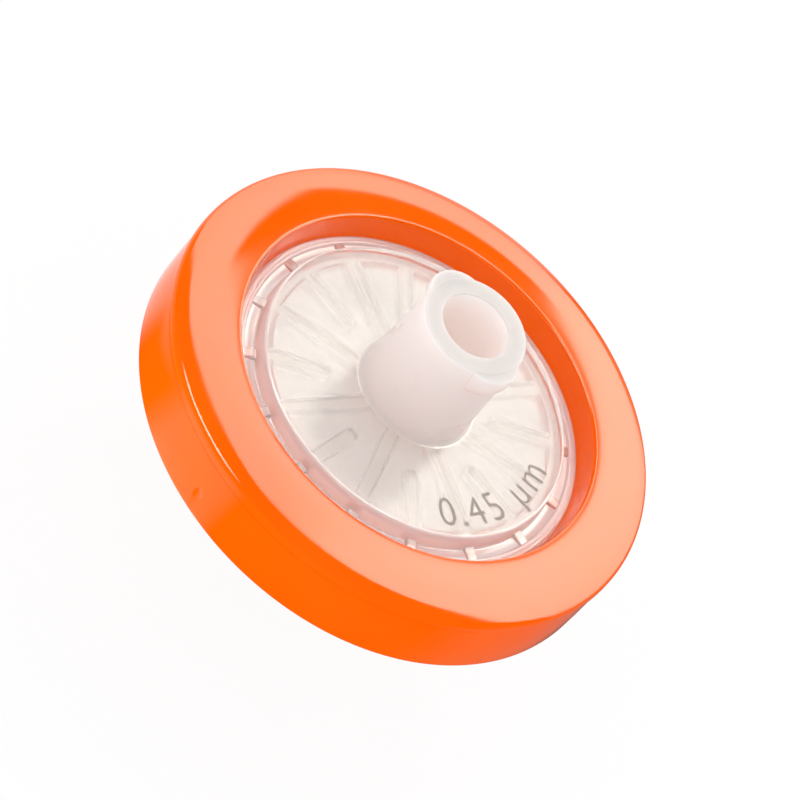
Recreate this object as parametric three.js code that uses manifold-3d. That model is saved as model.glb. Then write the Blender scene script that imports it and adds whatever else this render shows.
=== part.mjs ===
// Syringe filter, 25 mm class: a glass-fibre membrane between two welded polypropylene
// housings, sealed by an over-moulded ring. A female Luer lock port stands on the inlet side
// and a male Luer slip tip hangs from the outlet side.
// Millimetres, +Z up towards the inlet. The origin is the centre of the outlet tip's end face.

import * as THREE from 'three';
import { mergeVertices } from 'three/addons/utils/BufferGeometryUtils.js';
import Module from 'manifold-3d';

const wasm = await Module();
wasm.setup();

// ---------------------------------------------------------------- driving dimensions

// Facets round the axis. A multiple of the rib pattern keeps the ribs alike.
const SEGMENTS = 64;
// Free gap between pieces that don't rest on each other.
const GAP = 0.3;
// How far a joined feature reaches into the body that carries it.
const ROOT = 0.2;

// Ring, across the axis. The widths are measured inwards from the ring's outside.
const RING_DIAMETER = 31.2;
const RING_WEB = 2.1;
const TOP_LIP_WIDTH = 4.35;
const UNDER_LIP_WIDTH = 5.2;
const LIP_FLARE = 0.35;
const LIP_EDGE_RADIUS = 0.2;
const CROWN_SLOPE = THREE.MathUtils.degToRad(21.5);
const RIM_BAND = 0.65;
const RIM_SLOPE = THREE.MathUtils.degToRad(28);
const RIM_RADIUS = 0.3;
const PARTING_DEPTH = 0.18;
const PARTING_WIDTH = 0.16;
const BARREL_SETBACK = 0.12;
const BARREL_TAPER = 0.1;
const BARREL_BULGE = 0.05;
const FOOT_RADIUS = 0.3;
const UNDER_LIP_CHAMFER = 0.3;

// Ring and flanges, along the axis.
const TOP_LIP = 1.6;
const INLET_FLANGE = 1.4;
const OUTLET_FLANGE = 1.3;
const UNDER_LIP = 1.35;

// Mark left by the moulding gate on the ring's side, a little longer than wide.
const GATE_AZIMUTH = THREE.MathUtils.degToRad(-109.5);
const GATE_HEIGHT_SHARE = 0.26;
const GATE_WIDTH = 0.7;
const GATE_LENGTH = 1.1;
const GATE_DEPTH = 0.12;

// Raised plates of the housings. The moat lies between the inlet plate and the ring's lip.
const MOAT_WIDTH = 1.37;
const PLATE_RISE = 1.2;
const PLATE_THICKNESS = 1.0;
const PLATE_DRAFT = 0.07;
const PLATE_EDGE_RADIUS = 0.18;
const PLATE_WALL = 0.7;
const OUTLET_RECESS = 0.55;
const BEAD_WIDTH = 0.32;
const BEAD_HEIGHT = 0.2;

// Radial ribs: long and short ones take turns round the axis.
const RIB_PAIRS = 8;
const RIB_WIDTH = 0.85;
const RIB_PHASE = THREE.MathUtils.degToRad(12);
const SHORT_RIB_START = 5.25;
const INLET_RIB_DEPTH = 0.7;
const DRAIN_RIB_DEPTH = 0.8;
const RIB_END_STEPS = 5;

// Small gussets that stiffen the plate's foot, one outside each rib.
const GUSSET_WIDTH = 0.75;
const GUSSET_HEIGHT = 0.35;

// Membrane disc, pinched at its edge between the housings.
const MEMBRANE_THICKNESS = 0.5;
const CLAMP_WIDTH = 0.55;

// Female Luer lock port, to the common small-bore sizes.
const PORT_HEIGHT = 6.7;
const PORT_DIAMETER = 6.73;
const PORT_DRAFT = 0.185;
const PORT_FILLET = 0.35;
const MOUTH_EDGE_RADIUS = 0.22;
const SOCKET_DIAMETER = 4.3;
const SOCKET_CHAMFER = 0.15;
const SOCKET_FLOOR = 0.6;
const THROAT_DIAMETER = 2.0;
const LUER_TAPER = 0.06;

// The port's two lugs: round lobes in plan, whose undersides climb like a right-handed
// thread. The height is taken at a lug's middle.
const LUG_REACH = 0.55;
const LUG_LOBE_RADIUS = 1.95;
const LUG_AZIMUTH = THREE.MathUtils.degToRad(152);
const LUG_SETBACK = 0.06;
const LUG_HEIGHT = 1.1;
const LUG_LEAD = 6.5;
const LUG_CHAMFER = 0.2;

// Male Luer slip outlet and the conical hub above it.
const TIP_LENGTH = 7.5;
const TIP_DIAMETER = 3.97;
const TIP_EDGE = 0.2;
const OUTLET_BORE = 2.0;
const HUB_HEIGHT = 4.1;
const HUB_SHOULDER_STEP = 0.54;
const HUB_SHOULDER_EDGE = 0.25;
const HUB_SPREAD = 1.65;
const HUB_FILLET = 0.4;
const DRAIN_FUNNEL = 0.6;

// ---------------------------------------------------------------- sizes that follow

const ringRadius = RING_DIAMETER / 2;
const grooveRadius = ringRadius - RING_WEB;
const flangeRadius = grooveRadius - GAP;
const topLipRadius = ringRadius - TOP_LIP_WIDTH;
const underLipRadius = ringRadius - UNDER_LIP_WIDTH;
const plateRadius = topLipRadius - MOAT_WIDTH;
const chamberRadius = plateRadius - PLATE_WALL;
const membraneRadius = chamberRadius + CLAMP_WIDTH;
const pocketRadius = membraneRadius + GAP;

const outletPlateZ = TIP_LENGTH + HUB_HEIGHT;
const ringBottomZ = outletPlateZ - OUTLET_RECESS;
const underLipZ = ringBottomZ + UNDER_LIP;
const weldZ = underLipZ + OUTLET_FLANGE;
const flangeTopZ = weldZ + INLET_FLANGE;
const ringTopZ = flangeTopZ + TOP_LIP;
const mouthZ = ringTopZ + PORT_HEIGHT;
const inletPlateZ = flangeTopZ + PLATE_RISE;
const ceilingZ = inletPlateZ - PLATE_THICKNESS;
const membraneTopZ = ceilingZ - INLET_RIB_DEPTH;
const membraneBottomZ = membraneTopZ - MEMBRANE_THICKNESS;
const drainFloorZ = membraneBottomZ - DRAIN_RIB_DEPTH;

// ---------------------------------------------------------------- making solids

function point(r, z) {
  return new THREE.Vector2(r, z);
}

// Points on an arc in the (radius, height) plane, from one angle to another in degrees.
function arc(centreR, centreZ, radius, fromDegrees, toDegrees, steps) {
  const points = [];
  for (let i = 0; i <= steps; i += 1) {
    const angle = THREE.MathUtils.degToRad(fromDegrees + ((toDegrees - fromDegrees) * i) / steps);
    points.push(point(centreR + radius * Math.cos(angle), centreZ + radius * Math.sin(angle)));
  }
  return points;
}

// Turns a closed three.js geometry into a manifold solid.
function solidFrom(geometry) {
  geometry.deleteAttribute('normal');
  geometry.deleteAttribute('uv');
  const merged = mergeVertices(geometry, 1e-5);
  return new wasm.Manifold(new wasm.Mesh({
    numProp: 3,
    vertProperties: new Float32Array(merged.attributes.position.array),
    triVerts: new Uint32Array(merged.index.array),
  }));
}

// A body of revolution about Z. The profile is a closed outline that runs anticlockwise
// in the (radius, height) plane and stays clear of the axis.
function revolve(outline) {
  const profile = [...outline, outline[0].clone()];
  return solidFrom(new THREE.LatheGeometry(profile, SEGMENTS).rotateX(Math.PI / 2));
}

// A plan outline in X and Y, raised from one height to another.
function raise(shape, fromZ, toZ, curveSteps) {
  const geometry = new THREE.ExtrudeGeometry(shape, {
    depth: toZ - fromZ,
    bevelEnabled: false,
    curveSegments: curveSteps,
  });
  return solidFrom(geometry.translate(0, 0, fromZ));
}

// A side outline in (radius, height), given a width across the X axis that it lies along.
function finAlongX(outline, width) {
  const geometry = new THREE.ExtrudeGeometry(new THREE.Shape(outline), {
    depth: width,
    bevelEnabled: false,
  });
  return solidFrom(geometry.translate(0, 0, -width / 2).rotateX(Math.PI / 2));
}

// Copies of one solid, evenly spaced round the axis from a starting angle.
function patternRound(solid, count, phase) {
  const copies = [];
  for (let i = 0; i < count; i += 1) {
    const turn = phase + (2 * Math.PI * i) / count;
    copies.push(solid.rotate([0, 0, THREE.MathUtils.radToDeg(turn)]));
  }
  return copies;
}

function joinAll(body, features) {
  return features.reduce((joined, feature) => joined.add(feature), body);
}

function meshFrom(name, solid, material) {
  const result = solid.getMesh();
  const geometry = new THREE.BufferGeometry();
  geometry.setAttribute('position', new THREE.BufferAttribute(result.vertProperties, 3));
  geometry.setIndex(new THREE.BufferAttribute(result.triVerts, 1));
  geometry.computeVertexNormals();
  const mesh = new THREE.Mesh(geometry, material);
  mesh.name = name;
  return mesh;
}

// ---------------------------------------------------------------- radial ribs

// One rib along +X between two heights, with a round inner end and its outer end in the wall.
function rib(startRadius, fromZ, toZ) {
  const half = RIB_WIDTH / 2;
  const end = chamberRadius + ROOT;
  const outline = new THREE.Shape();
  outline.moveTo(end, half);
  outline.lineTo(startRadius + half, half);
  outline.absarc(startRadius + half, 0, half, Math.PI / 2, (3 * Math.PI) / 2, false);
  outline.lineTo(end, -half);
  outline.closePath();
  return raise(outline, fromZ, toZ, RIB_END_STEPS);
}

// Long ribs start close to the middle and short ones stand half a step between them.
function ribs(longStart, fromZ, toZ) {
  const halfStep = Math.PI / RIB_PAIRS;
  const long = patternRound(rib(longStart, fromZ, toZ), RIB_PAIRS, RIB_PHASE);
  const short = patternRound(rib(SHORT_RIB_START, fromZ, toZ), RIB_PAIRS, RIB_PHASE + halfStep);
  return [...long, ...short];
}

// ---------------------------------------------------------------- inlet housing

// The bead stands in the moat, a gap short of the ring's lip.
function beadOutline() {
  const outer = topLipRadius - GAP;
  const inner = outer - BEAD_WIDTH;
  return [
    point(outer, flangeTopZ),
    point(outer - BEAD_WIDTH * 0.2, flangeTopZ + BEAD_HEIGHT),
    point(inner + BEAD_WIDTH * 0.2, flangeTopZ + BEAD_HEIGHT),
    point(inner, flangeTopZ),
  ];
}

// Socket, chamber, pocket, flange, bead, plate and port in one outline.
function inletShell() {
  const socketRadius = SOCKET_DIAMETER / 2;
  const throatRadius = THROAT_DIAMETER / 2;
  const socketFloorZ = ceilingZ + SOCKET_FLOOR;
  const socketNarrowing = ((mouthZ - socketFloorZ) * LUER_TAPER) / 2;
  const portRadius = PORT_DIAMETER / 2;
  const portFootRadius = portRadius + PORT_DRAFT;
  const plateTopRadius = plateRadius - PLATE_EDGE_RADIUS;
  return revolve([
    point(socketRadius + SOCKET_CHAMFER, mouthZ),
    point(socketRadius, mouthZ - SOCKET_CHAMFER),
    point(socketRadius - socketNarrowing, socketFloorZ),
    point(throatRadius, socketFloorZ),
    point(throatRadius, ceilingZ),
    point(chamberRadius, ceilingZ),
    point(chamberRadius, membraneTopZ),
    point(pocketRadius, membraneTopZ),
    point(pocketRadius, weldZ),
    point(flangeRadius, weldZ),
    point(flangeRadius, flangeTopZ),
    ...beadOutline(),
    point(plateRadius + PLATE_DRAFT, flangeTopZ),
    ...arc(plateTopRadius, inletPlateZ - PLATE_EDGE_RADIUS, PLATE_EDGE_RADIUS, 0, 90, 3),
    ...arc(portFootRadius + PORT_FILLET, inletPlateZ + PORT_FILLET, PORT_FILLET, 270, 180, 3),
    ...arc(portRadius - MOUTH_EDGE_RADIUS, mouthZ - MOUTH_EDGE_RADIUS, MOUTH_EDGE_RADIUS, 0, 90, 3),
  ]);
}

// One lug: a block with a climbing underside, cut round in plan and chamfered on top. Its
// root reaches into the port's wall and stops short of the socket.
function lug() {
  const outerRadius = PORT_DIAMETER / 2 + LUG_REACH;
  const rootRadius = PORT_DIAMETER / 2 - MOUTH_EDGE_RADIUS - ROOT;
  const topZ = mouthZ - LUG_SETBACK;
  const half = LUG_LOBE_RADIUS;
  const rise = (LUG_LEAD * half) / (2 * Math.PI * outerRadius);
  const lowZ = topZ - LUG_HEIGHT - rise;
  const face = new THREE.Shape([
    point(-half, lowZ),
    point(half, lowZ + 2 * rise),
    point(half, topZ),
    point(-half, topZ),
  ]);
  const block = new THREE.ExtrudeGeometry(face, { depth: outerRadius, bevelEnabled: false });
  const outwards = new THREE.Matrix4().makeBasis(
    new THREE.Vector3(0, 1, 0),
    new THREE.Vector3(0, 0, 1),
    new THREE.Vector3(1, 0, 0),
  );
  const lobe = revolve([
    point(ROOT, topZ),
    point(ROOT, lowZ),
    point(half, lowZ),
    point(half, topZ - LUG_CHAMFER),
    point(half - LUG_CHAMFER, topZ),
  ]).translate([outerRadius - half, 0, 0]);
  const outsideRoot = revolve([
    point(rootRadius, topZ),
    point(rootRadius, lowZ),
    point(2 * outerRadius, lowZ),
    point(2 * outerRadius, topZ),
  ]);
  return solidFrom(block.applyMatrix4(outwards)).intersect(lobe).intersect(outsideRoot);
}

// One gusset along +X, from the plate's wall down to the bead.
function gusset() {
  const inner = plateRadius - ROOT;
  const outer = topLipRadius - GAP - BEAD_WIDTH / 2;
  return finAlongX([
    point(inner, flangeTopZ - ROOT),
    point(outer, flangeTopZ - ROOT),
    point(outer, flangeTopZ + BEAD_HEIGHT * 0.8),
    point(inner, flangeTopZ + GUSSET_HEIGHT),
  ], GUSSET_WIDTH);
}

function inletHousing() {
  const longStart = THROAT_DIAMETER / 2 + GAP;
  return joinAll(inletShell(), [
    ...ribs(longStart, membraneTopZ, ceilingZ + ROOT),
    ...patternRound(gusset(), 2 * RIB_PAIRS, RIB_PHASE),
    ...patternRound(lug(), 2, LUG_AZIMUTH),
  ]);
}

// ---------------------------------------------------------------- outlet housing

// Bore, drain floor, clamp rim, flange, plate, hub and tip in one outline.
function outletShell() {
  const boreRadius = OUTLET_BORE / 2;
  const tipRadius = TIP_DIAMETER / 2;
  const tipRootRadius = tipRadius + (TIP_LENGTH * LUER_TAPER) / 2;
  const shoulderRadius = tipRootRadius + HUB_SHOULDER_STEP;
  const hubFootRadius = shoulderRadius + HUB_SPREAD;
  const plateBottomRadius = plateRadius - PLATE_EDGE_RADIUS;
  return revolve([
    point(boreRadius, 0),
    point(tipRadius - TIP_EDGE, 0),
    point(tipRadius, TIP_EDGE),
    point(tipRootRadius, TIP_LENGTH),
    point(shoulderRadius - HUB_SHOULDER_EDGE, TIP_LENGTH),
    point(shoulderRadius, TIP_LENGTH + HUB_SHOULDER_EDGE),
    ...arc(hubFootRadius + HUB_FILLET, outletPlateZ - HUB_FILLET, HUB_FILLET, 160, 90, 3),
    ...arc(plateBottomRadius, outletPlateZ + PLATE_EDGE_RADIUS, PLATE_EDGE_RADIUS, 270, 360, 3),
    point(plateRadius + PLATE_DRAFT, underLipZ),
    point(flangeRadius, underLipZ),
    point(flangeRadius, weldZ),
    point(membraneRadius, weldZ),
    point(membraneRadius, membraneBottomZ),
    point(chamberRadius, membraneBottomZ),
    point(chamberRadius, drainFloorZ),
    point(boreRadius + DRAIN_FUNNEL, drainFloorZ),
    point(boreRadius, drainFloorZ - DRAIN_FUNNEL),
  ]);
}

function outletHousing() {
  const longStart = OUTLET_BORE / 2 + DRAIN_FUNNEL;
  return joinAll(outletShell(), ribs(longStart, drainFloorZ - ROOT, membraneBottomZ));
}

// ---------------------------------------------------------------- membrane and ring

function membraneDisc() {
  const disc = new THREE.CylinderGeometry(
    membraneRadius,
    membraneRadius,
    MEMBRANE_THICKNESS,
    SEGMENTS,
  );
  const middleZ = (membraneTopZ + membraneBottomZ) / 2;
  return solidFrom(disc.rotateX(Math.PI / 2).translate(0, 0, middleZ));
}

// The ring's top from the lip's edge outwards: crowned face, steeper rim band, rounded rim.
function ringTop() {
  const crownInner = topLipRadius + LIP_FLARE + LIP_EDGE_RADIUS;
  const crownOuter = ringRadius - RIM_BAND;
  const crownRadius = (crownOuter - crownInner) / Math.sin(CROWN_SLOPE);
  const crownEnd = 90 - THREE.MathUtils.radToDeg(CROWN_SLOPE);
  const edgeZ = ringTopZ - LIP_EDGE_RADIUS;
  const lipEdge = arc(crownInner, edgeZ, LIP_EDGE_RADIUS, 180, 90, 3);
  const crown = arc(crownInner, ringTopZ - crownRadius, crownRadius, 90, crownEnd, 6);
  const bandWidth = RIM_BAND - RIM_RADIUS * (1 - Math.sin(RIM_SLOPE));
  const bandEndZ = crown.at(-1).y - bandWidth * Math.tan(RIM_SLOPE);
  const rimZ = bandEndZ - RIM_RADIUS * Math.cos(RIM_SLOPE);
  const rimStart = 90 - THREE.MathUtils.radToDeg(RIM_SLOPE);
  const rim = arc(ringRadius - RIM_RADIUS, rimZ, RIM_RADIUS, rimStart, 0, 4);
  return [...lipEdge, ...crown.slice(1), ...rim];
}

// The barrel below the parting groove. It stands back from the rim and narrows downwards.
function ringBarrel(topZ) {
  const topRadius = ringRadius - BARREL_SETBACK;
  const footRadius = topRadius - BARREL_TAPER;
  const footZ = ringBottomZ + FOOT_RADIUS;
  const barrel = [0, 1, 2, 3].map((step) => {
    const share = step / 4;
    const straight = THREE.MathUtils.lerp(topRadius, footRadius, share);
    const bulge = BARREL_BULGE * Math.sin(Math.PI * share);
    return point(straight + bulge, THREE.MathUtils.lerp(topZ, footZ, share));
  });
  return [...barrel, ...arc(footRadius - FOOT_RADIUS, footZ, FOOT_RADIUS, 0, -90, 3)];
}

// The ring's C-shaped section: its top, the parting groove level with the inlet flange's
// top, its barrel, and the groove that grips both flanges.
function ringBody() {
  return revolve([
    point(topLipRadius, flangeTopZ),
    ...ringTop(),
    point(ringRadius, flangeTopZ + PARTING_WIDTH / 2),
    point(ringRadius - PARTING_DEPTH, flangeTopZ),
    ...ringBarrel(flangeTopZ - PARTING_WIDTH / 2),
    point(underLipRadius + UNDER_LIP_CHAMFER, ringBottomZ),
    point(underLipRadius, ringBottomZ + UNDER_LIP_CHAMFER),
    point(underLipRadius, underLipZ),
    point(grooveRadius, underLipZ),
    point(grooveRadius, flangeTopZ),
  ].reverse());
}

// The gate leaves a shallow, upright dimple on the ring's barrel.
function gateDimple() {
  const ballRadius = (GATE_WIDTH ** 2 / 4 + GATE_DEPTH ** 2) / (2 * GATE_DEPTH);
  const centreRadius = ringRadius - BARREL_SETBACK - GATE_DEPTH + ballRadius;
  const height = THREE.MathUtils.lerp(ringBottomZ, ringTopZ, GATE_HEIGHT_SHARE);
  const ball = new THREE.SphereGeometry(ballRadius, 24, 16).rotateY(Math.PI / 2);
  ball.scale(1, 1, GATE_LENGTH / GATE_WIDTH).translate(centreRadius, 0, height);
  return solidFrom(ball).rotate([0, 0, THREE.MathUtils.radToDeg(GATE_AZIMUTH)]);
}

function sealingRing() {
  return ringBody().subtract(gateDimple());
}

// ---------------------------------------------------------------- assembly

const clearPlastic = new THREE.MeshStandardMaterial({
  color: 0xe9e1dc,
  roughness: 0.25,
  metalness: 0,
  transparent: true,
  opacity: 0.55,
});
const fibreWhite = new THREE.MeshStandardMaterial({
  color: 0xf3f1ec,
  roughness: 0.95,
  metalness: 0,
});
const orangePlastic = new THREE.MeshStandardMaterial({
  color: 0xff6a00,
  roughness: 0.2,
  metalness: 0,
});

const syringeFilter = new THREE.Group();
syringeFilter.add(
  meshFrom('inlet_housing', inletHousing(), clearPlastic),
  meshFrom('outlet_housing', outletHousing(), clearPlastic),
  meshFrom('membrane', membraneDisc(), fibreWhite),
  meshFrom('sealing_ring', sealingRing(), orangePlastic),
);

export default syringeFilter;
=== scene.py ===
import math

import bmesh
import bpy
from mathutils import Matrix, Vector


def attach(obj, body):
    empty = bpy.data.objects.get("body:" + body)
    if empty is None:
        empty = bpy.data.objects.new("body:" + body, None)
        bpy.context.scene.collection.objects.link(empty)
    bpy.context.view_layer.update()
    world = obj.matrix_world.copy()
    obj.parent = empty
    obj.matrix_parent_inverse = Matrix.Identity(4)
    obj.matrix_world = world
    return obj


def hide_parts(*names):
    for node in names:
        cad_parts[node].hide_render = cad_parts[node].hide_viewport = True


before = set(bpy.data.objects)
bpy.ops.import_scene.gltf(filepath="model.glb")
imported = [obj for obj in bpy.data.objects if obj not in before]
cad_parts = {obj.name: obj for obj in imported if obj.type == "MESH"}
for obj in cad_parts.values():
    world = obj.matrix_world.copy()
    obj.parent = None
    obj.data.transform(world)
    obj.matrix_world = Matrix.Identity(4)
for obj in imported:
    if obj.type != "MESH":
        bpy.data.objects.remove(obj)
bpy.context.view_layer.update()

# ------------------------------------------------------------------ outlet half
# The lower housing half: a round flange, a recessed plate with drain ribs on its inside,
# a conical hub and a tapered slip tip. Injection-moulded natural polypropylene, one shot.

MM = 0.001
bore_radius = 1.0
tip_end_radius = 1.985
tip_root_radius = 2.21
tip_length = 7.5
hub_end_radius = 2.75
hub_root_radius = 4.4
plate_radius = 9.88
plate_foot_radius = 9.95
flange_radius = 13.2
chamber_radius = 9.18
membrane_radius = 9.73
weld_inner_radius = 10.03
drain_radius = 1.6
drain_depth = 0.6
plate_low = 11.6
flange_low = 12.4
drain_floor = 13.3
weld_height = 13.7
seat_height = 14.1
# The halves are melted together at the weld, so the lower one reaches into the upper one.
melt = 0.02


def draw_outline(shape, moves):
    """Draws a closed section in the X-Z plane. A move is (radius, height, rounding), or
    ("about", radius, height, degrees) for an arc from the last point round a centre."""
    first = last = None
    rounded = []
    for move in moves:
        if move[0] == "about":
            turned = bmesh.ops.spin(
                shape, geom=[last], cent=(move[1] * MM, 0, move[2] * MM), axis=(0, 1, 0),
                angle=math.radians(move[3]), steps=max(4, round(abs(move[3]) / 1.5)),
            )
            last = vertices_in(turned["geom_last"])[0]
            continue
        place = Vector((move[0] * MM, 0, move[1] * MM))
        if last is None:
            first = last = shape.verts.new(place)
        else:
            last = bmesh.ops.extrude_vert_indiv(shape, verts=[last])["verts"][0]
            last.co = place
        if move[2]:
            rounded.append((last, move[2]))
    shape.edges.new((last, first))
    for corner, rounding in rounded:
        bmesh.ops.bevel(
            shape, geom=[corner], offset=rounding * MM, offset_type="OFFSET", segments=5,
            profile=0.5, affect="VERTICES", material=-1,
        )


def vertices_in(items):
    """Only the vertices of a list of mesh items."""
    return [item for item in items if isinstance(item, bmesh.types.BMVert)]


def edges_at(vertices):
    """All edges that end at one of the vertices, each once and always in the same order."""
    return list(dict.fromkeys(edge for vertex in vertices for edge in vertex.link_edges))


def soften(shape, solid, edges, rounding, segments):
    """Rounds some edges of a solid off, to a rounding in millimetres. The solid goes in and
    comes back as a list of its vertices."""
    grown = bmesh.ops.bevel(
        shape, geom=edges, offset=rounding * MM, offset_type="OFFSET", segments=segments,
        profile=0.5, affect="EDGES", material=-1,
    )["verts"]
    return list(dict.fromkeys([vertex for vertex in solid if vertex.is_valid] + grown))


def turn_round(shape, steps):
    """Turns the drawn section once round the Z axis and closes it."""
    bmesh.ops.spin(
        shape, geom=shape.verts[:] + shape.edges[:], cent=(0, 0, 0), axis=(0, 0, 1),
        angle=2 * math.pi, steps=steps, use_merge=True,
    )
    bmesh.ops.remove_doubles(shape, verts=shape.verts[:], dist=1e-7)
    bmesh.ops.recalc_face_normals(shape, faces=shape.faces[:])


def piece_from(name, shape):
    """A finished bmesh as an object at the origin."""
    mesh = bpy.data.meshes.new(name)
    shape.to_mesh(mesh)
    shape.free()
    made = bpy.data.objects.new(name, mesh)
    bpy.context.scene.collection.objects.link(made)
    return made


def combine(body, tool, operation):
    """Joins, cuts or trims a body with a tool, keeps the result and drops the tool."""
    step = body.modifiers.new(operation.lower(), "BOOLEAN")
    step.operation, step.solver, step.object = operation, "EXACT", tool
    bpy.context.view_layer.update()
    shaped = body.evaluated_get(bpy.context.evaluated_depsgraph_get())
    mesh = bpy.data.meshes.new_from_object(shaped)
    body.modifiers.clear()
    body.data = mesh
    bpy.data.objects.remove(tool)
    return body


def smooth_faces(piece, sharp_degrees):
    """Smooth shading that stays crisp at hard edges and level on flat faces."""
    shape = bmesh.new()
    shape.from_mesh(piece.data)
    bmesh.ops.remove_doubles(shape, verts=shape.verts[:], dist=1e-7)
    bmesh.ops.recalc_face_normals(shape, faces=shape.faces[:])
    for face in shape.faces:
        face.smooth = True
    for edge in shape.edges:
        edge.smooth = edge.calc_face_angle(0.0) < math.radians(sharp_degrees)
    shape.to_mesh(piece.data)
    shape.free()
    level = piece.modifiers.new("level_normals", "WEIGHTED_NORMAL")
    level.mode, level.weight, level.keep_sharp = "FACE_AREA", 100, True


outlet = bmesh.new()
draw_outline(outlet, [
    (bore_radius, 0, 0.1), (tip_end_radius, 0, 0.2), (tip_root_radius, tip_length, 0.12),
    (hub_end_radius, tip_length, 0.25), (hub_root_radius, plate_low, 0.4),
    (plate_radius, plate_low, 0.18), (plate_foot_radius, flange_low, 0.1),
    (flange_radius, flange_low, 0.08), (flange_radius, weld_height + melt, 0),
    (membrane_radius, weld_height + melt, 0), (membrane_radius, seat_height, 0.05),
    (chamber_radius, seat_height, 0.08), (chamber_radius, drain_floor, 0.15),
    (drain_radius, drain_floor, 0.15), (bore_radius, drain_floor - drain_depth, 0.1),
])
turn_round(outlet, 192)
outlet_half = piece_from("outlet_half", outlet)

rib_count = 16
rib_phase = 12
rib_width = 0.85
short_rib_start = 5.25


def rib_turn(number):
    """The turn about the Z axis that brings a rib from the X axis to its place."""
    return Matrix.Rotation(math.radians(rib_phase + 360 / rib_count * number), 3, "Z")


def rib_set(name, long_start, bottom, top, sunk):
    """Radial ribs, long and short in turn, each with a round inner end and soft long
    edges. The edge on the free side is rounded, the other is sunk in the plate."""
    shape = bmesh.new()
    end = chamber_radius + 0.2
    for number in range(rib_count):
        start = long_start if number % 2 == 0 else short_rib_start
        bar = bmesh.ops.create_cube(shape, size=MM)["verts"]
        bmesh.ops.scale(shape, vec=(end - start, rib_width, top - bottom), verts=bar)
        bmesh.ops.translate(
            shape, vec=((start + end) / 2 * MM, 0, (bottom + top) / 2 * MM), verts=bar,
        )
        inner = [
            edge for edge in edges_at(bar)
            if all(abs(vertex.co.x - start * MM) < 1e-6 for vertex in edge.verts)
            and abs(edge.verts[0].co.z - edge.verts[1].co.z) > 1e-6
        ]
        bar = soften(shape, bar, inner, 0.42, 8)
        free = bottom if sunk == "top" else top
        rim = [
            edge for edge in edges_at(bar)
            if all(abs(vertex.co.z - free * MM) < 1e-6 for vertex in edge.verts)
        ]
        bar = soften(shape, bar, rim, 0.08, 3)
        bmesh.ops.rotate(shape, cent=(0, 0, 0), matrix=rib_turn(number), verts=bar)
    return piece_from(name, shape)


drain_ribs = rib_set("drain_ribs", 1.75, drain_floor - 0.2, seat_height, "bottom")
combine(outlet_half, drain_ribs, "UNION")
smooth_faces(outlet_half, 42)


def material_named(name):
    """A new material that holds a Principled BSDF."""
    material = bpy.data.materials.new(name)
    material.use_nodes = True
    return material


def two_tones(material, factor, first, second):
    """Colours a material with two close tones, mixed by a factor that changes over it."""
    nodes, links = material.node_tree.nodes, material.node_tree.links
    tones = nodes.new("ShaderNodeMix")
    tones.data_type = "RGBA"
    tones.inputs["A"].default_value = (*first, 1)
    tones.inputs["B"].default_value = (*second, 1)
    links.new(factor, tones.inputs["Factor"])
    links.new(tones.outputs["Result"], nodes["Principled BSDF"].inputs["Base Color"])


def fine_surface_group():
    """Node group for moulded plastic: slow unevenness and a fine, almost polished grain."""
    group = bpy.data.node_groups.new("moulded_surface", "ShaderNodeTree")
    for name in ("Scale", "Roughness Low", "Roughness High"):
        group.interface.new_socket(name, in_out="INPUT", socket_type="NodeSocketFloat")
    for name in ("Roughness", "Height", "Clouds"):
        group.interface.new_socket(name, in_out="OUTPUT", socket_type="NodeSocketFloat")
    nodes, links = group.nodes, group.links
    given, out = nodes.new("NodeGroupInput"), nodes.new("NodeGroupOutput")
    place = nodes.new("ShaderNodeTexCoord")
    clouds = nodes.new("ShaderNodeTexNoise")
    clouds.inputs["Detail"].default_value = 3
    links.new(place.outputs["Object"], clouds.inputs["Vector"])
    links.new(given.outputs["Scale"], clouds.inputs["Scale"])
    finer = nodes.new("ShaderNodeMath")
    finer.operation = "MULTIPLY"
    finer.inputs[1].default_value = 14
    links.new(given.outputs["Scale"], finer.inputs[0])
    grain = nodes.new("ShaderNodeTexNoise")
    grain.inputs["Detail"].default_value = 4
    links.new(place.outputs["Object"], grain.inputs["Vector"])
    links.new(finer.outputs[0], grain.inputs["Scale"])
    spread = nodes.new("ShaderNodeMapRange")
    spread.inputs["From Min"].default_value = 0.3
    spread.inputs["From Max"].default_value = 0.7
    links.new(clouds.outputs["Fac"], spread.inputs["Value"])
    links.new(given.outputs["Roughness Low"], spread.inputs["To Min"])
    links.new(given.outputs["Roughness High"], spread.inputs["To Max"])
    links.new(spread.outputs["Result"], out.inputs["Roughness"])
    blend = nodes.new("ShaderNodeMath")
    blend.operation = "MULTIPLY_ADD"
    blend.inputs[1].default_value = 0.12
    links.new(grain.outputs["Fac"], blend.inputs[0])
    links.new(clouds.outputs["Fac"], blend.inputs[2])
    links.new(blend.outputs[0], out.inputs["Height"])
    links.new(clouds.outputs["Fac"], out.inputs["Clouds"])
    return group


moulded_surface = fine_surface_group()


def moulded(material, scale, low, high, bump):
    """Puts the moulded surface into a material and feeds roughness and a slight bump.
    Low and high are the ends of the roughness, and bump is its height in metres."""
    nodes, links = material.node_tree.nodes, material.node_tree.links
    shader = nodes["Principled BSDF"]
    surface = nodes.new("ShaderNodeGroup")
    surface.node_tree = moulded_surface
    surface.inputs["Scale"].default_value = scale
    surface.inputs["Roughness Low"].default_value = low
    surface.inputs["Roughness High"].default_value = high
    links.new(surface.outputs["Roughness"], shader.inputs["Roughness"])
    lift = nodes.new("ShaderNodeBump")
    lift.inputs["Strength"].default_value = 1.0
    lift.inputs["Distance"].default_value = bump
    links.new(surface.outputs["Height"], lift.inputs["Height"])
    links.new(lift.outputs["Normal"], shader.inputs["Normal"])
    return surface


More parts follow.
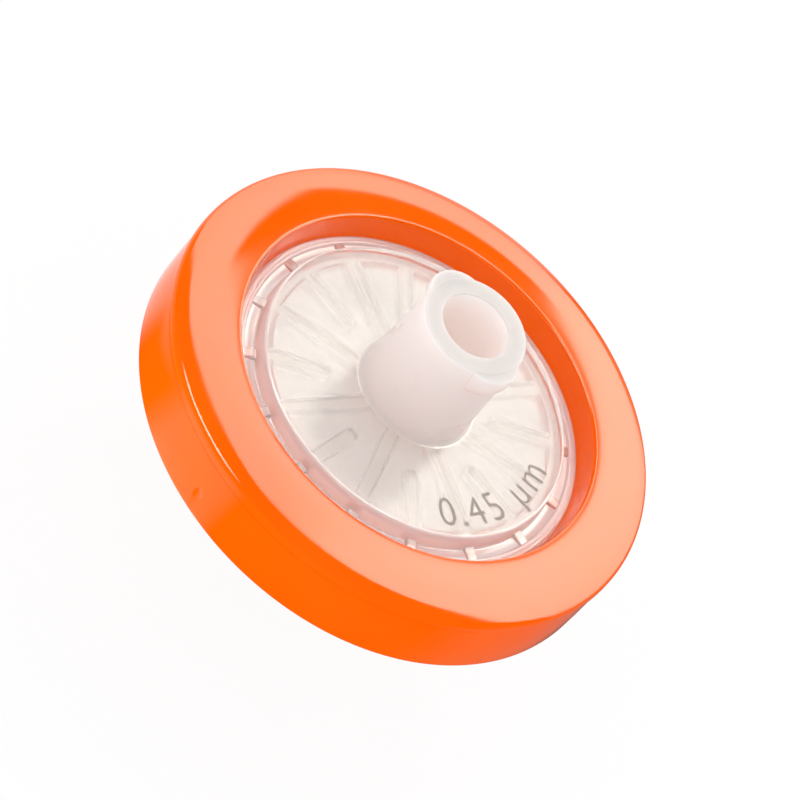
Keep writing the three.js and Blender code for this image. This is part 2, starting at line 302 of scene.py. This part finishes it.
def natural_plastic(name, clear, tint, depth, passed, roughness, gloss=0.5):
    """Natural polypropylene: clear in thin walls, milky where it is thick. Light that isn't
    let straight through scatters inside, to about the given depth in millimetres. Passed is
    the share of soft red, green and blue light that reaches what lies under the wall."""
    material = material_named(name)
    nodes, links = material.node_tree.nodes, material.node_tree.links
    shader = nodes["Principled BSDF"]
    shader.inputs["Transmission Weight"].default_value = clear
    shader.inputs["IOR"].default_value = 1.49
    shader.inputs["Subsurface Weight"].default_value = 1.0
    shader.inputs["Subsurface Radius"].default_value = (1.0, 0.93, 0.88)
    shader.inputs["Subsurface Scale"].default_value = depth * MM
    shader.inputs["Specular IOR Level"].default_value = gloss
    surface = moulded(material, 260, roughness, roughness + 0.06, 0.004 * MM)
    darker = [0.98 * part for part in tint]
    two_tones(material, surface.outputs["Clouds"], darker, tint)
    ray = nodes.new("ShaderNodeLightPath")
    soft = nodes.new("ShaderNodeMath")
    soft.operation = "MAXIMUM"
    links.new(ray.outputs["Is Diffuse Ray"], soft.inputs[0])
    links.new(ray.outputs["Is Shadow Ray"], soft.inputs[1])
    passing = nodes.new("ShaderNodeMath")
    passing.operation = "MULTIPLY"
    passing.inputs[1].default_value = max(passed)
    links.new(soft.outputs[0], passing.inputs[0])
    straight, choice = nodes.new("ShaderNodeBsdfTransparent"), nodes.new("ShaderNodeMixShader")
    straight.inputs["Color"].default_value = (*[part / max(passed) for part in passed], 1)
    links.new(passing.outputs[0], choice.inputs["Fac"])
    links.new(shader.outputs["BSDF"], choice.inputs[1])
    links.new(straight.outputs["BSDF"], choice.inputs[2])
    links.new(choice.outputs["Shader"], nodes["Material Output"].inputs["Surface"])
    return material


clear_plastic = natural_plastic(
    "clear_plastic", 0.9, (0.985, 0.98, 0.975), 1.2, (0.95, 0.94, 0.925), 0.14,
)
hazy_plastic = natural_plastic(
    "hazy_plastic", 0.36, (1.0, 0.98, 0.955), 1.2, (0.95, 0.94, 0.93), 0.06,
)
# Where the halves are melted into one another there is no surface left to see.
melted = material_named("melted_weld")
melted.node_tree.nodes["Principled BSDF"].inputs["Alpha"].default_value = 0.0


def lay_finishes(piece, finishes, finish_at):
    """Gives a piece its materials, and each face the one that finish_at picks for its
    distance from the axis and its height, in millimetres, and for how level it lies."""
    piece.data.materials.clear()
    for finish in finishes:
        piece.data.materials.append(finish)
    for face in piece.data.polygons:
        reach = math.hypot(face.center.x, face.center.y) / MM
        picked = finish_at(reach, face.center.z / MM, abs(face.normal.z))
        face.material_index = finishes.index(picked)


def outlet_finish(reach, level, flatness):
    """Melted at the weld, hazy in the flange, clear elsewhere."""
    if reach > weld_inner_radius and abs(level - weld_height - melt) < 0.001:
        return melted
    return hazy_plastic if reach > plate_radius else clear_plastic


lay_finishes(outlet_half, [clear_plastic, hazy_plastic, melted], outlet_finish)
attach(outlet_half, "root")
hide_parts("outlet_housing")

# ------------------------------------------------------------------ membrane
# A felt-like disc of white glass fibres, die-cut, lying on the drain ribs. Its edge is
# pinched thinner between the clamp rims of the two halves.

felt_low, felt_top = 14.115, 14.585
pinched_low, pinched_top = 14.18, 14.52
felt_radius = membrane_radius - 0.05
pinch_radius = chamber_radius - 0.15
fibres = bmesh.new()
draw_outline(fibres, [
    (0, felt_low, 0), (pinch_radius, felt_low, 0), (felt_radius, pinched_low, 0.02),
    (felt_radius, pinched_top, 0.02), (pinch_radius, felt_top, 0), (0, felt_top, 0),
])
on_axis = [
    edge for edge in fibres.edges if all(abs(vertex.co.x) < 1e-9 for vertex in edge.verts)
]
bmesh.ops.delete(fibres, geom=on_axis, context="EDGES")
turn_round(fibres, 128)
membrane_disc = piece_from("membrane_disc", fibres)
smooth_faces(membrane_disc, 30)

felt = material_named("glass_fibre_felt")
nodes, links = felt.node_tree.nodes, felt.node_tree.links
shader = nodes["Principled BSDF"]
shader.inputs["Roughness"].default_value = 0.95
shader.inputs["Specular IOR Level"].default_value = 0.2
place = nodes.new("ShaderNodeTexCoord")
# Short fibres seen as two crossed sets of stretched noise, over soft flocks of felt.
strands = []
for turn, stretch in ((0.5, 0.16), (2.1, 0.2)):
    lay = nodes.new("ShaderNodeMapping")
    lay.inputs["Rotation"].default_value = (0, 0, turn)
    lay.inputs["Scale"].default_value = (1, stretch, 1)
    links.new(place.outputs["Object"], lay.inputs["Vector"])
    strand = nodes.new("ShaderNodeTexNoise")
    strand.inputs["Scale"].default_value = 5200
    strand.inputs["Detail"].default_value = 2
    strand.inputs["Distortion"].default_value = 0.6
    links.new(lay.outputs["Vector"], strand.inputs["Vector"])
    strands.append(strand)
flocks = nodes.new("ShaderNodeTexNoise")
flocks.inputs["Scale"].default_value = 620
flocks.inputs["Detail"].default_value = 5
flocks.inputs["Roughness"].default_value = 0.62
links.new(place.outputs["Object"], flocks.inputs["Vector"])
crossed = nodes.new("ShaderNodeMath")
crossed.operation = "ADD"
links.new(strands[0].outputs["Fac"], crossed.inputs[0])
links.new(strands[1].outputs["Fac"], crossed.inputs[1])
pile = nodes.new("ShaderNodeMath")
pile.operation = "MULTIPLY_ADD"
pile.inputs[1].default_value = 1.6
links.new(flocks.outputs["Fac"], pile.inputs[0])
links.new(crossed.outputs[0], pile.inputs[2])
shade = nodes.new("ShaderNodeMapRange")
shade.inputs["From Min"].default_value = 1.25
shade.inputs["From Max"].default_value = 2.35
links.new(pile.outputs[0], shade.inputs["Value"])
two_tones(felt, shade.outputs["Result"], (0.69, 0.655, 0.635), (0.79, 0.77, 0.75))
relief = nodes.new("ShaderNodeBump")
relief.inputs["Distance"].default_value = 0.03 * MM
links.new(pile.outputs[0], relief.inputs["Height"])
links.new(relief.outputs["Normal"], shader.inputs["Normal"])
membrane_disc.data.materials.append(felt)
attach(membrane_disc, "root")
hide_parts("membrane")

# ------------------------------------------------------------------ inlet half
# The upper housing half: flange and moat, raised plate with spreading ribs below it, and
# the locking port with its tapered socket and two lugs. Same natural polypropylene.

port_radius = 3.365
port_foot_radius = 3.55
socket_mouth_radius = 2.15
socket_root_radius = 1.922
clamp_height = 14.6
flange_top = 15.1
chamber_top = 15.3
socket_floor = 15.9
plate_top = 16.3
mouth_height = 23.4
inlet = bmesh.new()
# Two low beads with a shallow groove between them run round the moat's outer side.
draw_outline(inlet, [
    (socket_mouth_radius, mouth_height, 0.14), (socket_root_radius, socket_floor, 0.2),
    (bore_radius, socket_floor, 0.1), (bore_radius, chamber_top, 0.08),
    (chamber_radius, chamber_top, 0.15), (chamber_radius, clamp_height, 0.06),
    (weld_inner_radius, clamp_height, 0), (weld_inner_radius, weld_height, 0),
    (flange_radius, weld_height, 0), (flange_radius, flange_top, 0.05),
    (11.2, flange_top, 0), (11.17, 15.28, 0.05), (11.0, 15.28, 0.02), (10.98, 15.24, 0.015),
    (10.9, 15.24, 0.015), (10.88, 15.3, 0.02), (10.72, 15.3, 0.05),
    (10.66, flange_top, 0.05), (plate_foot_radius, flange_top, 0.12),
    (plate_radius, plate_top, 0.18), (port_foot_radius, plate_top, 0.35),
    (3.412, 21.6, 0), (port_radius, mouth_height, 0.22),
])
turn_round(inlet, 192)
inlet_half = piece_from("inlet_half", inlet)
spread_ribs = rib_set("spread_ribs", 1.3, clamp_height, chamber_top + 0.2, "top")
combine(inlet_half, spread_ribs, "UNION")

# A small gusset outside each rib braces the plate's foot across the moat.
gusset_width = 0.75
gusset_start, gusset_end, gusset_low = 9.68, 10.79, 14.9
gusset_start_top, gusset_end_top = 15.36, 15.17
braces = bmesh.new()
for number in range(rib_count):
    start = [
        braces.verts.new((reach * MM, -gusset_width / 2 * MM, level * MM))
        for reach, level in (
            (gusset_start, gusset_low), (gusset_end, gusset_low),
            (gusset_end, gusset_end_top), (gusset_start, gusset_start_top),
        )
    ]
    side = braces.faces.new(start)
    far = vertices_in(bmesh.ops.extrude_face_region(braces, geom=[side])["geom"])
    bmesh.ops.translate(braces, vec=(0, gusset_width * MM, 0), verts=far)
    crest = [
        edge for edge in edges_at(start[2:] + far)
        if min(vertex.co.z for vertex in edge.verts) > flange_top * MM
        and abs(edge.verts[0].co.y - edge.verts[1].co.y) < 1e-9
    ]
    brace = soften(braces, start + far, crest, 0.16, 5)
    bmesh.ops.rotate(braces, cent=(0, 0, 0), matrix=rib_turn(number), verts=brace)
bmesh.ops.recalc_face_normals(braces, faces=braces.faces[:])
combine(inlet_half, piece_from("gussets", braces), "UNION")

# Each lug is a block whose underside climbs like a thread, cut round in plan by a disc with
# a soft top edge. The block has some spare, so that the disc alone shapes its sides and its
# top. The port's wall beyond its own rounding takes up the root.
lug_azimuths = (152, 332)
lug_reach = 3.915
lug_root = 2.9
lug_depth = 1.4
lug_thickness = 1.1
thread_lead = 6.5
lobe_radius = 1.95
lobe_middle = lug_reach - lobe_radius
spare = 0.05
block_half = lobe_radius + spare
climb = thread_lead / (2 * math.pi * lug_reach)
lug_top = mouth_height - 0.06
lug_underside = lug_top - lug_thickness
disc_low = lug_underside - climb * lobe_radius - spare
disc_middle = (lug_top + disc_low) / 2
blocks, discs = bmesh.new(), bmesh.new()
for azimuth in lug_azimuths:
    turn = Matrix.Rotation(math.radians(azimuth), 3, "Z")
    block = [
        blocks.verts.new((lug_root * MM, across * MM, level * MM))
        for across, level in (
            (-block_half, lug_underside - climb * block_half),
            (block_half, lug_underside + climb * block_half),
            (block_half, lug_top + spare), (-block_half, lug_top + spare),
        )
    ]
    face = blocks.faces.new(block)
    outer = vertices_in(bmesh.ops.extrude_face_region(blocks, geom=[face])["geom"])
    bmesh.ops.translate(blocks, vec=(lug_depth * MM, 0, 0), verts=outer)
    bmesh.ops.rotate(blocks, cent=(0, 0, 0), matrix=turn, verts=block + outer)
    disc = bmesh.ops.create_cone(
        discs, cap_ends=True, segments=128, radius1=lobe_radius * MM, radius2=lobe_radius * MM,
        depth=(lug_top - disc_low) * MM,
    )["verts"]
    bmesh.ops.translate(discs, vec=(lobe_middle * MM, 0, disc_middle * MM), verts=disc)
    top_edge = [
        edge for edge in edges_at(disc)
        if all(vertex.co.z > (disc_middle + 0.5) * MM for vertex in edge.verts)
    ]
    disc = soften(discs, disc, top_edge, 0.2, 5)
    bmesh.ops.rotate(discs, cent=(0, 0, 0), matrix=turn, verts=disc)
bmesh.ops.recalc_face_normals(blocks, faces=blocks.faces[:])
bmesh.ops.recalc_face_normals(discs, faces=discs.faces[:])
port_lugs = combine(piece_from("port_lugs", blocks), piece_from("lug_discs", discs), "INTERSECT")
combine(inlet_half, port_lugs, "UNION")
smooth_faces(inlet_half, 28)

milky_plastic = natural_plastic(
    "milky_plastic", 0.0, (0.74, 0.72, 0.705), 1.6, (0.65, 0.57, 0.54), 0.25, 0.1,
)
# A lighter copy of the milky plastic for the socket: painted light, standing in for light let in
# through the port's walls.
painted_light_bore_plastic = natural_plastic(
    "painted_light_bore_plastic", 0.0, (0.82, 0.80, 0.79), 3.0, (0.65, 0.57, 0.54), 0.25, 0.1,
)
# A darker copy of the milky plastic for the lip: painted shade against the light that falls on
# the port's top.
painted_shade_lip_plastic = natural_plastic(
    "painted_shade_lip_plastic", 0.0, (0.65, 0.62, 0.605), 1.6, (0.65, 0.57, 0.54), 0.25, 0.1,
)
frosted_plastic = natural_plastic(
    "frosted_plastic", 0.7, (1.0, 0.985, 0.975), 1.2, (0.95, 0.94, 0.925), 0.2,
)


def inlet_finish(reach, level, flatness):
    """The port is milky, with a lighter copy in its socket as painted light and a darker copy on
    its lip as painted shade. The ribs' walls, the gussets and the plate's foot are frosted, the
    weld is melted, the flange and the plate's edge are hazy, and the rest of the plate is clear."""
    if level > mouth_height - 0.1:
        return painted_shade_lip_plastic
    if reach < 4.2 and level > plate_top + 0.02 or reach < 2.3 and level > chamber_top + 0.3:
        return painted_light_bore_plastic if reach < 2.2 else milky_plastic
    if reach < chamber_radius and 14.5 < level < chamber_top + 0.3 and flatness < 0.95:
        return frosted_plastic
    if 9.96 < reach < 10.66 and level > flange_top + 0.01:
        return frosted_plastic
    if reach > weld_inner_radius and abs(level - weld_height) < 0.001:
        return melted
    return hazy_plastic if reach > plate_radius - 0.12 else clear_plastic


lay_finishes(inlet_half, [
    clear_plastic, hazy_plastic, melted, milky_plastic, painted_light_bore_plastic, frosted_plastic,
    painted_shade_lip_plastic,
], inlet_finish)
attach(inlet_half, "root")
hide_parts("inlet_housing")

# ------------------------------------------------------------------ sealing ring
# Orange polypropylene moulded over the welded flanges in a second shot. It grips them from
# above and below, and has a crowned face, a parting line and, below that, a gate mark.

ring_radius = 15.599
ring_low = 11.05
ring_top = 16.7
parting = 15.1
lower_lip_radius = 10.4
inner_rounding = 0.2
# The crowned face ends in a steeper band, which a small radius rounds off to the side.
crown_start, crown_end, crown_degrees = 11.8, 14.95, 21.5
crown_slope = math.radians(crown_degrees)
crown_radius = (crown_end - crown_start) / math.sin(crown_slope)
crown_drop = crown_radius * (1 - math.cos(crown_slope))
band_degrees, rim_radius = 28, 0.5
band_slope = math.radians(band_degrees)
band_end = ring_radius - rim_radius * (1 - math.sin(band_slope))
band_drop = crown_drop + (band_end - crown_end) * math.tan(band_slope)
rim_middle = ring_top - band_drop - rim_radius * math.cos(band_slope)
ring = bmesh.new()
draw_outline(ring, [
    (11.25, flange_top - melt, 0), (crown_start - inner_rounding, ring_top - inner_rounding, 0),
    ("about", crown_start, ring_top - inner_rounding, 90),
    ("about", crown_start, ring_top - crown_radius, crown_degrees),
    (band_end, ring_top - band_drop, 0),
    ("about", ring_radius - rim_radius, rim_middle, 90 - band_degrees),
    (ring_radius, parting + 0.08, 0.05), (ring_radius - 0.18, parting, 0.02),
    (ring_radius - 0.12, parting - 0.08, 0.03), (ring_radius - 0.09, 13.6, 1.2),
    (ring_radius - 0.22, ring_low, 0.3), (lower_lip_radius + 0.3, ring_low, 0),
    (lower_lip_radius, ring_low + 0.3, 0.1), (lower_lip_radius, flange_low + melt, 0),
    (flange_radius - melt, flange_low + melt, 0), (flange_radius - melt, flange_top - melt, 0),
])
turn_round(ring, 256)
sealing_ring = piece_from("overmoulded_ring", ring)

# The gate leaves a shallow dimple on the side, longer than it is wide.
gate_azimuth, gate_height = -109.5, 12.52
dimple_radius, dimple_stretch, deepest_radius = 0.57, 1.57, 15.36
dimple = bmesh.new()
ball = bmesh.ops.create_uvsphere(
    dimple, u_segments=64, v_segments=48, radius=dimple_radius * MM,
)["verts"]
bmesh.ops.scale(dimple, vec=(1, 1, dimple_stretch), verts=ball)
bmesh.ops.translate(
    dimple, vec=((deepest_radius + dimple_radius) * MM, 0, gate_height * MM), verts=ball,
)
turn = Matrix.Rotation(math.radians(gate_azimuth), 3, "Z")
bmesh.ops.rotate(dimple, cent=(0, 0, 0), matrix=turn, verts=ball)
combine(sealing_ring, piece_from("gate_dimple", dimple), "DIFFERENCE")
smooth_faces(sealing_ring, 42)

orange = material_named("orange_plastic")
orange.node_tree.nodes["Principled BSDF"].inputs["Specular IOR Level"].default_value = 0.3
surface = moulded(orange, 180, 0.07, 0.12, 0.006 * MM)
two_tones(orange, surface.outputs["Clouds"], (1.0, 0.106, 0.0), (1.0, 0.138, 0.0))
sealing_ring.data.materials.clear()
sealing_ring.data.materials.append(orange)
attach(sealing_ring, "root")
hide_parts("sealing_ring")

# ------------------------------------------------------------------ pad print
# The pore rating in thin grey ink, pad-printed on the inlet plate along its rim. Only a
# plain number and its unit.

lettering = bpy.data.curves.new("rating", "FONT")
lettering.body = "0.45 µm"
lettering.size = 2.74 * MM
lettering.offset = -0.022 * MM
lettering.extrude = 0.006 * MM
lettering.space_character = 1.12
lettering.resolution_u = 6
typed = bpy.data.objects.new("rating", lettering)
bpy.context.scene.collection.objects.link(typed)
bpy.context.view_layer.update()
drawn = typed.evaluated_get(bpy.context.evaluated_depsgraph_get())
ink_mesh = bpy.data.meshes.new_from_object(drawn)
bpy.data.objects.remove(typed)
ink = bmesh.new()
ink.from_mesh(ink_mesh)
bmesh.ops.remove_doubles(ink, verts=ink.verts[:], dist=1e-8)
# The line of print follows a circle with the feet of the figures outwards.
foot_radius, first_azimuth, ink_height = 9.1, -47.0, plate_top + 0.004
for vertex in ink.verts:
    angle = math.radians(first_azimuth) + vertex.co.x / (foot_radius * MM)
    reach = foot_radius * MM - vertex.co.y
    level = ink_height * MM + vertex.co.z
    vertex.co = Vector((reach * math.cos(angle), reach * math.sin(angle), level))
bmesh.ops.recalc_face_normals(ink, faces=ink.faces[:])
print_ink = piece_from("print_ink", ink)

grey_ink = material_named("grey_ink")
nodes, links = grey_ink.node_tree.nodes, grey_ink.node_tree.links
nodes["Principled BSDF"].inputs["Roughness"].default_value = 0.6
place = nodes.new("ShaderNodeTexCoord")
thin = nodes.new("ShaderNodeTexNoise")
thin.inputs["Scale"].default_value = 3000
thin.inputs["Detail"].default_value = 3
links.new(place.outputs["Object"], thin.inputs["Vector"])
two_tones(grey_ink, thin.outputs["Fac"], (0.14, 0.115, 0.10), (0.24, 0.20, 0.185))
print_ink.data.materials.append(grey_ink)
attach(print_ink, "root")

# ------------------------------------------------------------------ floor
# A white studio table. It is open from below, so that the outlet side can be looked at. For
# glossy
# rays it glows in a painted reflection: bright behind, at the front left and faintly at the
# right.

ground = bmesh.new()
bmesh.ops.create_grid(ground, x_segments=1, y_segments=1, size=2.0)
floor = piece_from("floor", ground)
paper = material_named("white_paper")
paper.cycles.emission_sampling = "NONE"
nodes, links = paper.node_tree.nodes, paper.node_tree.links


def feed(socket, value):
    """Links a socket to another one, or sets it to a plain number."""
    if isinstance(value, bpy.types.NodeSocket):
        links.new(value, socket)
    else:
        socket.default_value = value


def calculate(operation, first, second=0.0, third=0.0):
    """A Math node on sockets or plain numbers, in the tree at hand."""
    node = nodes.new("ShaderNodeMath")
    node.operation = operation
    for socket, value in zip(node.inputs, (first, second, third)):
        feed(socket, value)
    return node.outputs[0]


def fade(value, start, end):
    """A soft step from 0 at start to 1 at end."""
    node = nodes.new("ShaderNodeMapRange")
    node.interpolation_type = "SMOOTHSTEP"
    node.inputs["From Min"].default_value = start
    node.inputs["From Max"].default_value = end
    links.new(value, node.inputs["Value"])
    return node.outputs["Result"]


def both(*masks):
    """The product of masks."""
    product = masks[0]
    for mask in masks[1:]:
        product = calculate("MULTIPLY", product, mask)
    return product


def without(mask, share=1.0):
    """One minus a share of a mask."""
    return calculate("SUBTRACT", 1.0, calculate("MULTIPLY", mask, share))


def chosen(factor, first, second):
    """A Mix Shader node between two shaders."""
    node = nodes.new("ShaderNodeMixShader")
    links.new(factor, node.inputs["Fac"])
    links.new(first, node.inputs[1])
    links.new(second, node.inputs[2])
    return node.outputs["Shader"]


def glowing(strength):
    """A white Emission node of a strength given as a socket or a plain number."""
    node = nodes.new("ShaderNodeEmission")
    feed(node.inputs["Strength"], strength)
    return node.outputs["Emission"]


def ray_masks():
    """Three masks of rays: diffuse ones, glossy ones that haven't gone through plastic, and
    all others, which see the studio itself."""
    ray = nodes.new("ShaderNodeLightPath")
    diffuse = ray.outputs["Is Diffuse Ray"]
    outside = calculate("LESS_THAN", ray.outputs["Transmission Depth"], 0.5)
    glossy = both(ray.outputs["Is Glossy Ray"], outside)
    return diffuse, glossy, without(calculate("MAXIMUM", diffuse, glossy))


shader = nodes["Principled BSDF"]
shader.inputs["Base Color"].default_value = (0.97, 0.97, 0.97, 1)
shader.inputs["Roughness"].default_value = 1.0
shader.inputs["Specular IOR Level"].default_value = 0.0
place, axis = nodes.new("ShaderNodeTexCoord"), nodes.new("ShaderNodeSeparateXYZ")
links.new(place.outputs["Object"], axis.inputs["Vector"])
east, north = axis.outputs["X"], axis.outputs["Y"]
slant = calculate("DIVIDE", north, calculate("MINIMUM", east, -0.001))
front_left = both(
    fade(slant, 0.45, 0.85), without(fade(slant, 2.1, 3.4)), without(fade(east, -0.008, 0)),
)
unlit = both(
    fade(east, -0.0275, -0.0255), without(fade(east, -0.018, -0.014)),
    fade(north, -0.018, -0.014), without(fade(north, -0.002, 0.004)),
)
behind = both(fade(north, -0.022, 0.014), without(unlit), without(fade(east, 0.0, 0.012)))
at_right = both(fade(east, 0.012, 0.022), fade(north, -0.016, -0.006))
# Painted reflection: the table's glow seen only by glossy rays, from the masks above.
painted_reflection = calculate("MULTIPLY_ADD", front_left, 1.05, calculate("MULTIPLY", behind, 0.9))
painted_reflection = calculate("MULTIPLY_ADD", at_right, 0.25, painted_reflection)
diffuse, glossy, seen = ray_masks()
# A patch of the table at the front left glows for diffuse rays: a painted pool of light that
# throws soft light up at the ring's side.
painted_light_pool = both(front_left, without(fade(east, -0.016, -0.01)), diffuse)
table = nodes.new("ShaderNodeAddShader")
links.new(shader.outputs["BSDF"], table.inputs[0])
links.new(glowing(calculate("MULTIPLY", painted_light_pool, 1.4)), table.inputs[1])
# Seen plainly, the table is bleached to white, with a faint rest of the object's shadow.
bleached = chosen(calculate("MULTIPLY", seen, 0.92), table.outputs["Shader"], glowing(1.0))
solid = chosen(glossy, bleached, glowing(painted_reflection))
camera_ray = nodes.new("ShaderNodeLightPath").outputs["Is Camera Ray"]
underside = nodes.new("ShaderNodeNewGeometry").outputs["Backfacing"]
from_below = calculate("MULTIPLY", camera_ray, underside)
open_face = nodes.new("ShaderNodeBsdfTransparent").outputs["BSDF"]
surface = chosen(from_below, solid, open_face)
links.new(surface, nodes["Material Output"].inputs["Surface"])
floor.data.materials.append(paper)

# ------------------------------------------------------------------ light
# A white studio: even soft light from all round, large panels that show only in glossy
# surfaces, and a soft key light from behind.

world = bpy.data.worlds.new("studio")
bpy.context.scene.world = world
world.use_nodes = True
world.cycles.sampling_method = "NONE"
nodes, links = world.node_tree.nodes, world.node_tree.links
nodes.clear()
out = nodes.new("ShaderNodeOutputWorld")
place, axis = nodes.new("ShaderNodeTexCoord"), nodes.new("ShaderNodeSeparateXYZ")
links.new(place.outputs["Generated"], axis.inputs["Vector"])
east, north, height = axis.outputs["X"], axis.outputs["Y"], axis.outputs["Z"]


def facing(direction):
    """How far a ray points along a direction, 1 when straight along it."""
    node = nodes.new("ShaderNodeVectorMath")
    node.operation = "DOT_PRODUCT"
    node.inputs[1].default_value = Vector(direction).normalized()
    links.new(place.outputs["Generated"], node.inputs[0])
    return node.outputs["Value"]


def blended(kind, factor, first, second):
    """A Mix node from the first value to the second, of kind FLOAT or RGBA."""
    node = nodes.new("ShaderNodeMix")
    node.data_type = kind
    feed(node.inputs["Factor"], factor)
    feed(node.inputs["A"], first)
    feed(node.inputs["B"], second)
    return node.outputs["Result"]


# The panels stand behind: brighter towards the top, ending overhead and at both sides, with
# one dark gap between them. A thin strip light stands at the upper left.
sideways = calculate("DIVIDE", east, calculate("MAXIMUM", north, 0.02))
glow = calculate("MINIMUM", calculate("MULTIPLY_ADD", height, 11.0, 2.1), 10.8)
glow = calculate("MULTIPLY", glow, calculate("MULTIPLY_ADD", fade(east, -0.06, 0.12), 0.3, 0.7))
ends = both(
    fade(north, 0.03, 0.16), fade(sideways, -1.18, -1.04), without(fade(sideways, 2.0, 2.8)),
)
gap = both(
    fade(sideways, -0.36, -0.27), without(fade(sideways, 0.01, 0.055)),
    fade(height, 0.43, 0.48), without(fade(height, 0.70, 0.715)),
)
across = calculate("ADD", facing((0.475, 0.737, 0.481)), 0.05)
strip = both(
    without(fade(calculate("ABSOLUTE", across), 0.14, 0.2)),
    fade(facing((-0.545, -0.224, 0.807)), 0.945, 0.975),
)
panels = calculate("MULTIPLY_ADD", strip, 20.0, both(glow, ends, without(gap)))
panels = calculate("ADD", panels, 0.02)
# The even light is stronger from the sides than from above, and a little from the left.
even = calculate("MULTIPLY_ADD", calculate("ABSOLUTE", height), -0.75, 1.5)
even = calculate("MULTIPLY", even, calculate("MULTIPLY_ADD", east, -0.12, 1.0))
glossy, seen = ray_masks()[1:]
brightness = blended("FLOAT", seen, blended("FLOAT", glossy, even, panels), 1.0)
# Only the panels are a warm white.
warmth = blended("RGBA", glossy, (1, 1, 1, 1), (1.2, 1.15, 1, 1))
sky = nodes.new("ShaderNodeBackground")
links.new(warmth, sky.inputs["Color"])
links.new(brightness, sky.inputs["Strength"])
links.new(sky.outputs["Background"], out.inputs["Surface"])
# The key light comes from behind, half way up. The panels above stand for its reflection.
key_light = bpy.data.lights.new("key_light", "SUN")
key_light.energy, key_light.angle = 0.42, 0.16
key = bpy.data.objects.new("key_light", key_light)
key_elevation = 0.84
key.rotation_euler = (key_elevation - math.pi / 2, 0, 0)
key.visible_glossy = key.visible_transmission = False
bpy.context.scene.collection.objects.link(key)

# ------------------------------------------------------------------ camera
# A long lens far off, looking down on the inlet side and rolled to stand the disc aslant.
# It aims a little below and beside the middle of the ring's face.

camera_data = bpy.data.cameras.new("camera")
camera_data.lens, camera_data.sensor_width = 1600, 36
camera = bpy.data.objects.new("camera", camera_data)
bpy.context.scene.collection.objects.link(camera)
right = Vector((0.7343, 0.4709, 0.4889))
up = Vector((-0.6788, 0.5094, 0.5289))
back = right.cross(up).normalized()
up = back.cross(right).normalized()
right.normalize()
beside, below, camera_distance = 1.09619, 0.71166, 2.04068
aim = Vector((0, 0, ring_top * MM)) - right * (beside * MM) - up * (below * MM)
turn = Matrix((right, up, back)).transposed().to_4x4()
camera.matrix_world = Matrix.Translation(aim + back * camera_distance) @ turn
bpy.context.scene.camera = camera
bpy.context.scene.view_settings.view_transform = "Standard"
